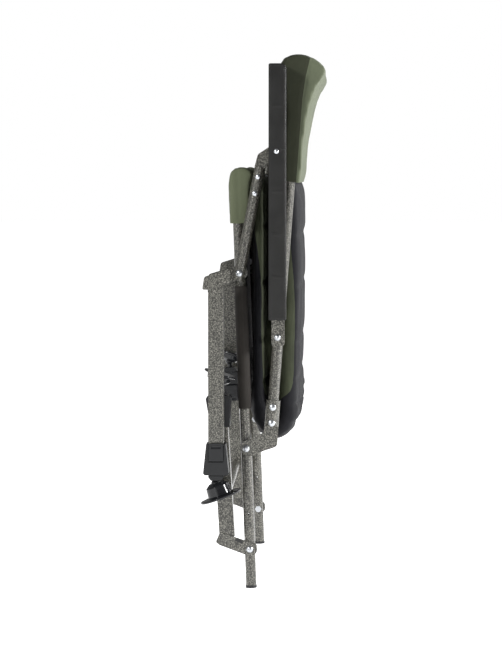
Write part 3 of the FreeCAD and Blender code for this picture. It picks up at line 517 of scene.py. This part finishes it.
def spread(points: Sequence[Sequence[float]], count: int, closed: bool = False) -> np.ndarray:
    """Smooth curve through control points: cubic pieces whose slopes come from each point's neighbours.

    Args:
        points: control points, any dimension.
        count: number of samples.
        closed: whether the curve joins up.

    Returns:
        Samples, evenly spaced in the control points' own numbering.
    """
    p = np.asarray(points, float)
    n = len(p)
    slope = (np.roll(p, -1, 0) - np.roll(p, 1, 0)) / 2 if closed else np.gradient(p, axis=0)
    at = np.linspace(0, n if closed else n - 1, count, endpoint=not closed)
    i = np.minimum(at.astype(int), n - 1 if closed else n - 2)
    u = (at - i)[:, None]
    j = (i + 1) % n
    return ((2 * u ** 3 - 3 * u ** 2 + 1) * p[i] + (u ** 3 - 2 * u ** 2 + u) * slope[i]
            + (3 * u ** 2 - 2 * u ** 3) * p[j] + (u ** 3 - u ** 2) * slope[j])


def apply_modifiers(piece: bpy.types.Object) -> None:
    """Replace the mesh by the result of its modifiers and drop them.

    Args:
        piece: the object.
    """
    graph = bpy.context.evaluated_depsgraph_get()
    made = bpy.data.meshes.new_from_object(piece.evaluated_get(graph), depsgraph=graph)
    piece.modifiers.clear()
    piece.data = made
    made.polygons.foreach_set("use_smooth", np.ones(len(made.polygons), bool))


def refine(piece: bpy.types.Object) -> None:
    """Subdivide the mesh once.

    Args:
        piece: the object.
    """
    smooth = piece.modifiers.new("smooth", "SUBSURF")
    smooth.levels = smooth.render_levels = 1
    apply_modifiers(piece)


@dataclass
class Stuffing:
    """How a padded piece is blown up: the cloth is meshed anew, put under pressure and stopped at a cap."""

    voxel: float = 6.5
    pressure: float = 4.0
    cap: float = 6.0
    frames: int = 20

    def fill(self, piece: bpy.types.Object, held: Callable[[np.ndarray], np.ndarray]) -> None:
        """Remesh the piece, simulate it as cloth under inner pressure and keep the result.

        Args:
            piece: a closed mesh object in world coordinates.
            held: gives the vertices, as booleans, that the frame holds still.
        """
        remesh = piece.modifiers.new("remesh", "REMESH")
        remesh.mode, remesh.voxel_size = "VOXEL", self.voxel * MM
        apply_modifiers(piece)
        start = vertices(piece)
        group = piece.vertex_groups.new(name="held")
        group.add(np.flatnonzero(held(start)).tolist(), 1.0, "REPLACE")
        cloth = piece.modifiers.new("cloth", "CLOTH")
        settings = cloth.settings
        settings.quality, settings.mass = 5, 0.3
        settings.tension_stiffness = settings.compression_stiffness = 12
        settings.bending_stiffness = 0.4
        settings.use_pressure, settings.uniform_pressure_force = True, self.pressure
        settings.effector_weights.gravity = 0
        settings.vertex_group_mass = "held"
        for step in range(1, self.frames + 1):
            bpy.context.scene.frame_set(step)
        graph = bpy.context.evaluated_depsgraph_get()
        blown = piece.evaluated_get(graph).to_mesh()
        end = np.empty(len(blown.vertices) * 3)
        blown.vertices.foreach_get("co", end)
        piece.modifiers.clear()
        piece.vertex_groups.clear()
        bpy.context.scene.frame_set(1)
        step = end.reshape(-1, 3) - start
        length = np.linalg.norm(step, axis=1, keepdims=True)
        limit = self.cap * MM
        move_vertices(piece, start + step * (limit * np.tanh(length / limit) / np.maximum(length, 1e-9)))
        refine(piece)


def ripples(points: np.ndarray, size: float, seed: int) -> np.ndarray:
    """Smooth wandering heights between about -1 and 1: a sum of eight sine waves with seeded directions.

    Args:
        points: positions in metres.
        size: typical wave length in millimetres.
        seed: number that fixes the waves.

    Returns:
        One height for each point.
    """
    chance = np.random.default_rng(seed)
    total = np.zeros(len(points))
    for _ in range(8):
        direction = chance.normal(size=3)
        direction /= np.linalg.norm(direction)
        pitch = size * MM * chance.uniform(0.6, 1.6)
        total += np.sin(points @ direction * 2 * math.pi / pitch + chance.uniform(0, 6.28))
    return total / 3.2


def ridge(values: np.ndarray, at: float, width: float) -> np.ndarray:
    """Bell curve of a value about a place.

    Args:
        values: where the curve is wanted.
        at: place of its top.
        width: distance at which it has fallen to about a third.

    Returns:
        Heights between 0 and 1.
    """
    return np.exp(-((values - at) / width) ** 2)


def set_cover(piece: bpy.types.Object, values: np.ndarray) -> None:
    """Store which of a material's two tones covers each vertex: two cloths on the quilted pad; on the head
    pocket its olive and a lighter olive that is painted light.

    Args:
        piece: the object.
        values: 0 for the first tone and 1 for the second tone, at each vertex.
    """
    attribute = piece.data.attributes.new("cover", "FLOAT", "POINT")
    attribute.data.foreach_set("value", values.astype(np.float32))


# ---------------------------------------------------------------- the quilted pad
@dataclass(frozen=True)
class Station:
    """One place along the pad: the sitter's face and the outer face in the frame of one half of the chair.

    lining is the depth, 0 at the sitter's face and 1 at the outer face, from which the black cloth starts.
    """

    sitter: tuple[float, float]
    outer: tuple[float, float]
    second_tone: float
    half: Half = Half.SEAT

    def row(self) -> list[float]:
        """Put the station's numbers in one row.

        Returns:
            The two faces in the rail frame and the lining's share.
        """
        faces = np.array([self.sitter, self.outer], float)
        x, z = RAIL.local(PLANES[self.half].place(faces[:, 0], np.zeros(2), faces[:, 1]))
        return [x[0], z[0], x[1], z[1], self.second_tone]


@dataclass
class QuiltedPad:
    """The one long pad of seat and back, doubled over at the hinge, with sewn channels across it."""

    name: str
    stations: list[Station]
    nodes: tuple[str, ...]
    seams: tuple[float, ...]
    creases: tuple[float, ...]
    fold: tuple[float, float]
    half_width: float = 247.5
    inset: float = 3.5
    gap: float = 6.0
    gap_start: tuple[float, float] = (42.7, 100.0)
    gap_slant: float = 1.9
    # Distances in millimetres within which the stitching holds the cloth while it is filled.
    seam_hold: float = 4.0
    side_hold: float = 9.0
    # Depth and width of the sewn channels, on the sitter's face and outside.
    channel: tuple[float, float] = (3.5, 2.0)
    channel_width: float = 6.0
    # Depth, width and distance from the side of the stitched border.
    border: tuple[float, float, float] = (3.0, 5.0, 30.0)
    # Depth and width of the creases outside the fold.
    crease: tuple[float, float] = (4.0, 3.5)
    wrinkle: float = 55.0
    samples: int = 520
    stuffing: Stuffing = field(default_factory=Stuffing)

    def along(self, count: int) -> np.ndarray:
        """Sample the stations from the free end of the seat to that of the back.

        Args:
            count: number of samples.

        Returns:
            One row of the five station numbers for each sample.
        """
        return spread([s.row() for s in self.stations], count)

    def shell(self) -> bpy.types.Object:
        """Closed pillow: a rounded section between the two faces, carried along the stations.

        Across the section the depth follows a super-ellipse of the angle and the width its partner, so the
        sides are round and the faces nearly flat; both free ends narrow as half rounds.

        Returns:
            The pillow before it is filled.
        """
        rows, ring = 190, 72
        curve = self.along(rows)
        angle = np.linspace(0, 2 * math.pi, ring, endpoint=False)
        depth = np.sign(np.cos(angle)) * np.abs(np.cos(angle)) ** 0.55
        width = np.sign(np.sin(angle)) * np.abs(np.sin(angle)) ** 0.22
        share = np.linspace(0, 1, rows)
        end = np.clip(1 - np.minimum(share, 1 - share) / 0.016, 0, 1)
        nose = np.sqrt(1 - end ** 2) * 0.9 + 0.1
        middle, half = (curve[:, :2] + curve[:, 2:4]) / 2, (curve[:, 2:4] - curve[:, :2]) / 2
        thick = np.linalg.norm(half, axis=1)
        half = half * ((thick - self.inset) / thick * nose)[:, None]
        x = middle[:, :1] + half[:, :1] * depth
        z = middle[:, 1:] + half[:, 1:] * depth
        y = (self.half_width - self.inset) * width * np.ones((rows, 1))
        points = RAIL.place(x, y, z).reshape(-1, 3)
        caps = [list(range(ring)), list(range((rows - 1) * ring, rows * ring))[::-1]]
        return mesh_object(self.name, points, grid_faces(rows, ring, True).tolist() + caps, QUILT)

    def coordinates(self, points: np.ndarray) -> tuple[np.ndarray, np.ndarray, np.ndarray]:
        """Where each point lies on the pad.

        Args:
            points: positions in metres.

        Returns:
            The place along in station numbers, the depth from the sitter's face (0) to the outer face (1),
            and the depth at which the lining starts there.
        """
        curve = self.along(self.samples)
        middle = (curve[:, :2] + curve[:, 2:4]) / 2
        x, z = RAIL.local(points)
        near = np.empty(len(points), int)
        for part in np.array_split(np.arange(len(points)), 40):
            near[part] = ((x[part, None] - middle[:, 0]) ** 2 + (z[part, None] - middle[:, 1]) ** 2).argmin(1)
        inner, across = curve[near, :2], curve[near, 2:4] - curve[near, :2]
        depth = ((x - inner[:, 0]) * across[:, 0] + (z - inner[:, 1]) * across[:, 1]) / (across ** 2).sum(1)
        return near / (self.samples - 1) * (len(self.stations) - 1), depth, curve[near, 4]

    def distance(self, along: np.ndarray, place: float) -> np.ndarray:
        """Measure on the pad's middle how far each place is from a station.

        Args:
            along: places, in station numbers.
            place: the station number to measure from.

        Returns:
            Distances in millimetres, negative before the station.
        """
        curve = self.along(self.samples)
        middle = (curve[:, :2] + curve[:, 2:4]) / 2
        length = np.concatenate([[0], np.cumsum(np.linalg.norm(np.diff(middle, axis=0), axis=1))])
        numbers = np.linspace(0, len(self.stations) - 1, self.samples)
        return np.interp(along, numbers, length) - np.interp(place, numbers, length)

    def held(self, points: np.ndarray) -> np.ndarray:
        """Find the vertices that the stitching holds: the channel seams and the two side seams.

        Args:
            points: positions in metres.

        Returns:
            True for each held vertex.
        """
        along, depth, _ = self.coordinates(points)
        seam = np.min([np.abs(self.distance(along, s)) for s in self.seams], axis=0) < self.seam_hold
        side = (np.abs(points[:, 1]) / MM > self.half_width - self.side_hold) & (np.abs(depth - 0.5) < 0.25)
        return seam | side

    def sew(self, piece: bpy.types.Object) -> None:
        """Sink the sewn channels and creases into the filled pad and mark its two cloths.

        Channels are bell-shaped grooves across both faces, deeper on the sitter's; the fold has creases
        outside.

        Args:
            piece: the filled pad.
        """
        points, out = vertices(piece), normals(piece)
        along, depth, second_tone = self.coordinates(points)
        sitter, outer = np.clip(1 - depth * 2.2, 0, 1), np.clip(depth * 2.2 - 1.2, 0, 1)
        groove = sum(ridge(self.distance(along, s), 0.0, self.channel_width) for s in self.seams)
        crease = sum(ridge(self.distance(along, s), 0.0, self.crease[1]) for s in self.creases)
        deep, wide, inside = self.border
        border = ridge(np.abs(points[:, 1]) / MM, self.half_width - inside, wide)
        folded = np.clip((along - self.fold[0]) * 3, 0, 1) * np.clip((self.fold[1] - along) * 3, 0, 1)
        sink = (self.channel[0] * sitter + self.channel[1] * outer) * np.clip(groove, 0, 1)
        sink += deep * border * sitter * (1 - folded)
        sink += self.crease[0] * outer * crease
        sink += (0.7 + 1.2 * folded) * ripples(points, self.wrinkle, 3)
        move_vertices(piece, points - out * (sink * MM)[:, None])
        set_cover(piece, np.clip(0.5 + (depth - second_tone) * 6, 0, 1))

    def build(self) -> bpy.types.Object:
        """Make the piece, fill it, sew it, hide the frame's pad nodes and bake its place into the mesh.

        Returns:
            The finished pad.
        """
        piece = self.shell()
        self.stuffing.fill(piece, self.held)
        self.sew(piece)
        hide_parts(*self.nodes)
        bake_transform(piece)
        LOG.info("%s: %d vertices", piece.name, len(piece.data.vertices))
        return piece


# ---------------------------------------------------------------- cloth pockets
@dataclass
class ClothPocket:
    """A padded pocket of cloth pulled over a bar of the frame: a closed outline carried across the chair."""

    name: str
    half: Half
    outline: list[tuple[float, float]]
    hem: float
    node: str
    finish: Finish
    # Where the lighter second tone goes: on the head pocket, painted light on its back part.
    painted_light_panel: Callable[[np.ndarray, np.ndarray], np.ndarray]
    seam: Callable[[np.ndarray, np.ndarray], np.ndarray]
    half_width: float = 271.2
    inset: float = 0.8
    rounding: float = 10.0
    loose: float = 70.0
    stuffing: Stuffing = field(default_factory=lambda: Stuffing(voxel=5.5, cap=5.0))

    def shell(self) -> bpy.types.Object:
        """Closed form: the outline at each place across, drawn in towards its middle near the two sides.

        The draw is the rounding less a quarter circle of the distance from the side.

        Returns:
            The pocket before it is filled.
        """
        rows, ring = 61, 96
        curve = spread(self.outline, ring, closed=True)
        middle = curve.mean(0)
        across = np.sin(np.linspace(-math.pi / 2, math.pi / 2, rows)) * (self.half_width - self.inset)
        edge = np.clip((self.half_width - self.inset - np.abs(across)) / self.rounding, 0, 1)
        draw = self.inset + self.rounding * (1 - np.sqrt(1 - (1 - edge) ** 2)) * 0.3
        ray = curve - middle
        reach = np.linalg.norm(ray, axis=1)
        scale = 1 - draw[:, None] / reach
        x, z = middle[0] + ray[:, 0] * scale, middle[1] + ray[:, 1] * scale
        points = PLANES[self.half].place(x, across[:, None] * np.ones((1, ring)), z).reshape(-1, 3)
        caps = [list(range(ring)), list(range((rows - 1) * ring, rows * ring))[::-1]]
        return mesh_object(self.name, points, grid_faces(rows, ring, True).tolist() + caps, self.finish)

    def trim(self, piece: bpy.types.Object) -> None:
        """Cut the pocket off straight at its hem and close it there with a flat face.

        Args:
            piece: the filled pocket.
        """
        plane = PLANES[self.half]
        foot, above = plane.place(np.zeros(2), np.zeros(2), np.array([self.hem, self.hem + 1]))
        work = bmesh.new()
        work.from_mesh(piece.data)
        bmesh.ops.bisect_plane(work, geom=[*work.verts, *work.edges, *work.faces], dist=1e-6, plane_co=foot,
                               plane_no=above - foot, clear_inner=True)
        open_edges = [e for e in work.edges if e.is_boundary]
        for face in bmesh.ops.holes_fill(work, edges=open_edges)["faces"]:
            face.smooth = False
            for edge in face.edges:
                edge.smooth = False
        work.to_mesh(piece.data)
        work.free()

    def build(self) -> bpy.types.Object:
        """Make the pocket, fill it, pull its seams in, trim it and let it ride on its frame.

        Returns:
            The finished pocket.
        """
        piece = self.shell()
        plane = PLANES[self.half]
        self.stuffing.fill(piece, lambda p: (plane.local(p)[1] < self.hem + 4)
                           | (np.abs(p[:, 1]) / MM > self.half_width - 5))
        points, out = vertices(piece), normals(piece)
        x, z = plane.local(points)
        side = np.clip((np.abs(points[:, 1]) / MM - self.half_width + 14) / 8, 0, 1)
        sink = 0.7 * self.seam(x, z) + 0.8 * (1 - side) * ripples(points, 60, 11)
        free = np.clip((self.hem + self.loose - z) / self.loose, 0, 1)
        drape = np.sin(points[:, 1] / MM / 23 + 1.7 * ripples(points, 160, 5)) * free
        sink += 0.9 * drape * (1 - side)
        move_vertices(piece, points - out * (sink * MM)[:, None])
        # On the head pocket this paints the part behind the seam a lighter olive: painted light.
        set_cover(piece, self.painted_light_panel(x, z))
        self.trim(piece)
        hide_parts(self.node)
        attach(piece, self.half.value)
        LOG.info("%s: %d vertices", piece.name, len(piece.data.vertices))
        return piece


# ---------------------------------------------------------------- seat deck
@dataclass
class SeatDeck:
    """Black support cloth stretched between the two rail sleeves under the seat pad."""

    half_width: float = 250.0
    rear: float = 70.5
    front: float = 395.0
    sag: float = 3.0

    def build(self) -> bpy.types.Object:
        """Sheet whose depth is a shallow arch across, with tight ripples that die out at the rails.

        Returns:
            The finished cloth.
        """
        rows, columns = 60, 90
        z = np.linspace(self.rear, self.front, rows)[:, None] * np.ones((1, columns))
        y = np.linspace(-self.half_width, self.half_width, columns)[None, :] * np.ones((rows, 1))
        free = 1 - (np.abs(y) / self.half_width) ** 2
        flat = np.stack([np.zeros(y.size), y.reshape(-1) * MM, z.reshape(-1) * MM], -1)
        x = -self.sag * free * 0.6 + 0.8 * free * ripples(flat, 90, 21).reshape(y.shape)
        points = RAIL.place(x, y, z).reshape(-1, 3)
        piece = mesh_object("seat_support_cloth", points, grid_faces(rows, columns), BLACK_CLOTH)
        wall = piece.modifiers.new("wall", "SOLIDIFY")
        wall.thickness, wall.offset = 1.4 * MM, 0.0
        apply_modifiers(piece)
        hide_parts("seat_deck")
        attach(piece, "seat")
        LOG.info("%s: %d vertices", piece.name, len(piece.data.vertices))
        return piece


# ---------------------------------------------------------------- dressing the frame
NODE_FINISHES: tuple[tuple[str, Finish], ...] = (
    ("rail_sleeve", SLEEVE), ("bolts", ZINC), ("rivets", ZINC), ("end_caps", NYLON), ("cam_", NYLON),
    ("foot_ball", NYLON), ("_foot_", FOOT_PLASTIC), ("armrest_cover", ARM_PLASTIC), ("bumpers", BUFFER),
    ("lower_leg", INNER_TUBE),
)


def dress_frame() -> None:
    """Give every frame node its finish, the first one whose word is in its name, or else hammertone."""
    for name, node in frame["nodes"].items():
        finish = next((f for word, f in NODE_FINISHES if word in name), HAMMERTONE)
        if not node.material_slots:
            node.data.materials.append(None)
        for place in node.material_slots:
            place.material = finish.build()
        LOG.info("%s: %s", name, finish.name)


# ---------------------------------------------------------------- stage
# Name, place, power and size of each soft light, in metres and watts.
STUDIO_LIGHTS = (("key", (-2.6, -3.2, 2.3), 120, 0.6), ("fill", (3.2, -1.1, 1.3), 130, 0.5),
                 ("rim", (2.6, 1.6, 1.8), 60, 0.9))
# The point in the middle of the chair that the lights aim at.
LIT_POINT = (0.0, 0.0, 0.45)


@dataclass
class Studio:
    """Pale floor, soft lights and a camera square to the chair's side."""

    camera_place: tuple[float, float, float] = (0.117, -4.600, 0.740)
    yaw: float = 1.835
    pitch: float = 3.585
    lens: float = 136.8
    sky: float = 0.24
    floor_glow: float = 0.9

    def build(self) -> None:
        """Make the floor, the sky light, three soft lights and the camera."""
        scene = bpy.context.scene
        scene.view_settings.view_transform = "Standard"
        size = 30.0
        points = np.array([[-size, -size, 0], [size, -size, 0], [size, size, 0], [-size, size, 0]])
        paint = Finish("pale_floor", "#fbfbfb", 0.9)
        floor = mesh_object("studio_floor", points, [[0, 1, 2, 3]], paint)
        shader = next(n for n in paint.build().node_tree.nodes if n.type == "BSDF_PRINCIPLED")
        shader.inputs["Emission Color"].default_value = (1.0, 1.0, 1.0, 1.0)
        shader.inputs["Emission Strength"].default_value = self.floor_glow
        world = bpy.data.worlds.new("studio_sky")
        world.use_nodes = True
        tree = world.node_tree
        tree.nodes.clear()
        seen = add(tree, "ShaderNodeLightPath").outputs["Is Camera Ray"]
        strength = add(tree, "ShaderNodeMapRange", {"To Min": self.sky, "To Max": 1.0}, Value=seen)
        white = (1.0, 1.0, 1.0, 1.0)
        shine = add(tree, "ShaderNodeBackground", {"Color": white}, Strength=strength.outputs[0])
        add(tree, "ShaderNodeOutputWorld", Surface=shine.outputs[0])
        scene.world = world
        for name, place, energy, wide in STUDIO_LIGHTS:
            light = bpy.data.lights.new(name, "AREA")
            light.energy, light.size = energy, wide
            lamp = bpy.data.objects.new(name, light)
            lamp.location = place
            aim = np.array(LIT_POINT) - np.array(place)
            lamp.rotation_euler = (math.atan2(math.hypot(aim[0], aim[1]), -aim[2]), 0.0,
                                   math.atan2(aim[1], aim[0]) - math.pi / 2)
            scene.collection.objects.link(lamp)
        camera = bpy.data.objects.new("camera", bpy.data.cameras.new("camera"))
        camera.data.lens = self.lens
        camera.data.sensor_width = 36.0
        camera.location = self.camera_place
        camera.rotation_euler = (math.radians(90 - self.pitch), 0.0, math.radians(self.yaw))
        scene.collection.objects.link(camera)
        scene.camera = camera


# ---------------------------------------------------------------- the chair
QUILTED_PAD = QuiltedPad(
    "quilted_pad",
    [Station((53, 479), (24, 479), 1.3), Station((50.5, 391), (20.5, 391), 0.8),
     Station((46.5, 291), (16.5, 291), 0.36), Station((43, 191), (13, 191), 0.34),
     Station((41, 116), (9.3, 114), 0.25), Station((40.5, 91), (7.5, 78), 0.1),
     Station((42, 77), (9, 43), 0.0), Station((44, 66), (25, 14), -0.1),
     Station((46, 60), (55, 3), -0.1), Station((48, 66), (82, 18), -0.1),
     Station((49.5, 75), (95, 44), 0.0), Station((50.5, 87), (98.5, 78), 0.3),
     Station((39.5, 110), (89, 118), 0.66, Half.BACK), Station((31.5, 190), (86.5, 190), 0.72, Half.BACK),
     Station((28, 290), (80.5, 290), 0.66, Half.BACK), Station((26, 380), (72.5, 380), 0.5, Half.BACK),
     Station((24, 488), (61, 490), 0.44, Half.BACK)],
    ("seat_pad", "pad_fold", "back_pad"), seams=(1.0, 2.0, 3.0, 4.0, 12.2, 13.0, 14.0, 15.0),
    creases=(6.1, 7.4, 9.3, 10.6), fold=(5.0, 11.6), stuffing=Stuffing(voxel=7.2, cap=5.0))
SEAT_POCKET = ClothPocket(
    "seat_front_cloth", Half.SEAT,
    [(-14, 386), (-14.5, 430), (-14.5, 458), (-14, 476), (-10.5, 489), (-2, 496), (9, 497.5), (19, 495),
     (27, 488), (25.5, 470), (22.5, 440), (20.5, 386), (2, 384)],
    398, "seat_front_pocket", OLIVE, painted_light_panel=lambda x, z: np.zeros(len(x)),
    seam=lambda x, z: ridge(x, 1.5, 2.2) * (z > 405))
HEAD_POCKET = ClothPocket(
    "head_cloth", Half.BACK,
    [(31.5, 461), (28, 530), (23, 600), (14, 640), (9, 668), (15, 689), (30, 697), (46, 699), (62, 696),
     (77, 689), (89, 679), (91, 671), (85.5, 660), (76.5, 645), (70, 620), (64.5, 590), (60.5, 540),
     (59, 461), (46, 459)],
    474.6, "head_pocket", POCKET,
    # Behind the seam line the head pocket is painted a lighter olive: painted light on the same cloth.
    painted_light_panel=lambda x, z: np.clip(
        0.5 + (x - np.interp(z, [474, 560, 620, 660, 690], [53, 53, 53, 56, 61])) / 6, 0, 1),
    seam=lambda x, z: ridge(x, np.interp(z, [474, 620, 690], [53, 53, 61]), 2.4))


def main() -> None:
    """Build and dress every piece of the chair, then the studio."""
    logging.basicConfig(level=logging.INFO, format="%(name)s %(message)s")
    dress_frame()
    for piece in (QUILTED_PAD, SEAT_POCKET, HEAD_POCKET, SeatDeck()):
        piece.build()
    Studio().build()


if __name__ == "__main__":
    main()
